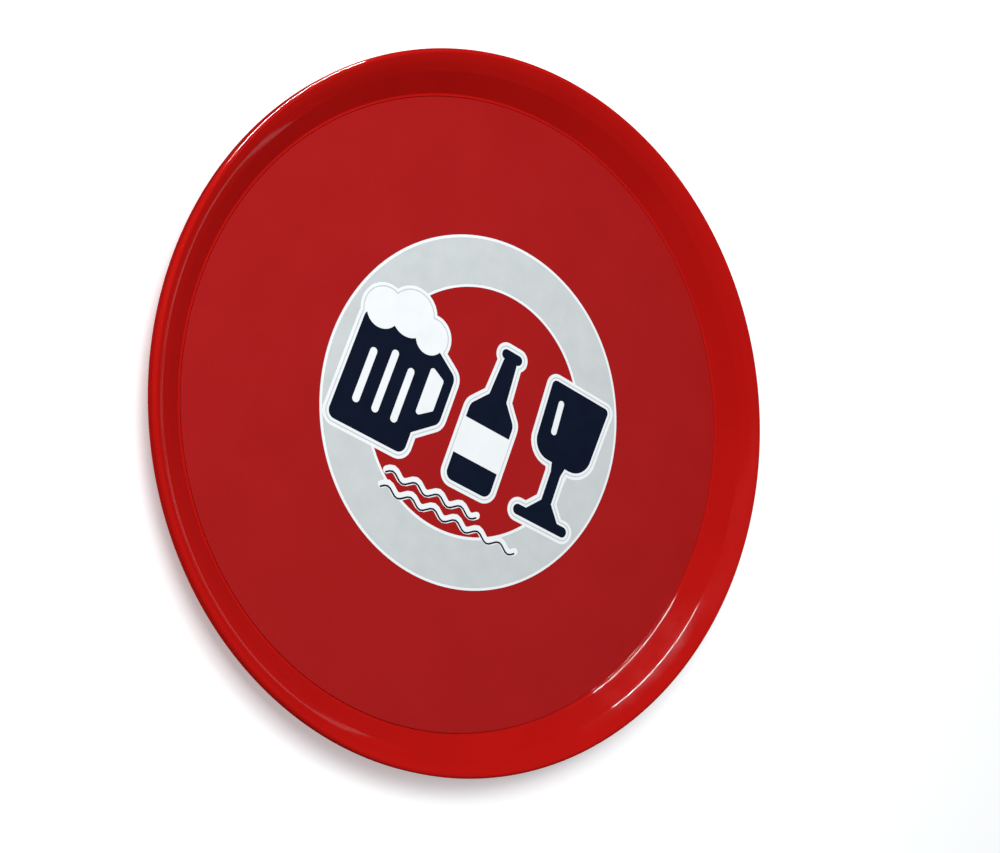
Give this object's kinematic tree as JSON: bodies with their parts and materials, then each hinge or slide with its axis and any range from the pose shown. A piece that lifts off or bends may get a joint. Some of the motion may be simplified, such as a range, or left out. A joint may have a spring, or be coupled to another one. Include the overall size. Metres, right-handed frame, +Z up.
{
  "type": "serving tray",
  "caption": "Round serving tray with a flared glossy rim, raised wall, foot ring, matte non-slip floor and a printed ring with drinkware silhouettes.",
  "frame": {"origin": "middle of the circle that the foot ring stands on", "axes": "+Z up, out of the serving side; +X along the direction in which the print reads; +Y towards the top of the print"},
  "size_m": [0.33, 0.33, 0.0208],
  "materials": {
    "gloss_shell": "glossy moulded red",
    "matte_inlay": "fine matte grain, red",
    "bond_film": "clear adhesive",
    "white_ink": "satin screen ink",
    "grey_ink": "satin screen ink",
    "navy_ink": "satin screen ink"
  },
  "bodies": {
    "root": {"tray_shell": "gloss_shell", "inlay_bond_film": "bond_film", "non_slip_inlay": "matte_inlay", "white_ink_1": "white_ink", "white_ink_2": "white_ink", "white_ink_3": "white_ink", "grey_ink_band_1": "grey_ink", "grey_ink_keyline_mug_1": "grey_ink", "grey_ink_keyline_bottle_1": "grey_ink", "grey_ink_keyline_goblet_1": "grey_ink", "navy_ink_mug_1": "navy_ink", "navy_ink_bottle_1": "navy_ink", "navy_ink_bottle_2": "navy_ink", "navy_ink_goblet_1": "navy_ink", "navy_ink_rule_1_1": "navy_ink", "navy_ink_rule_2_1": "navy_ink"}
  },
  "joints": []
}
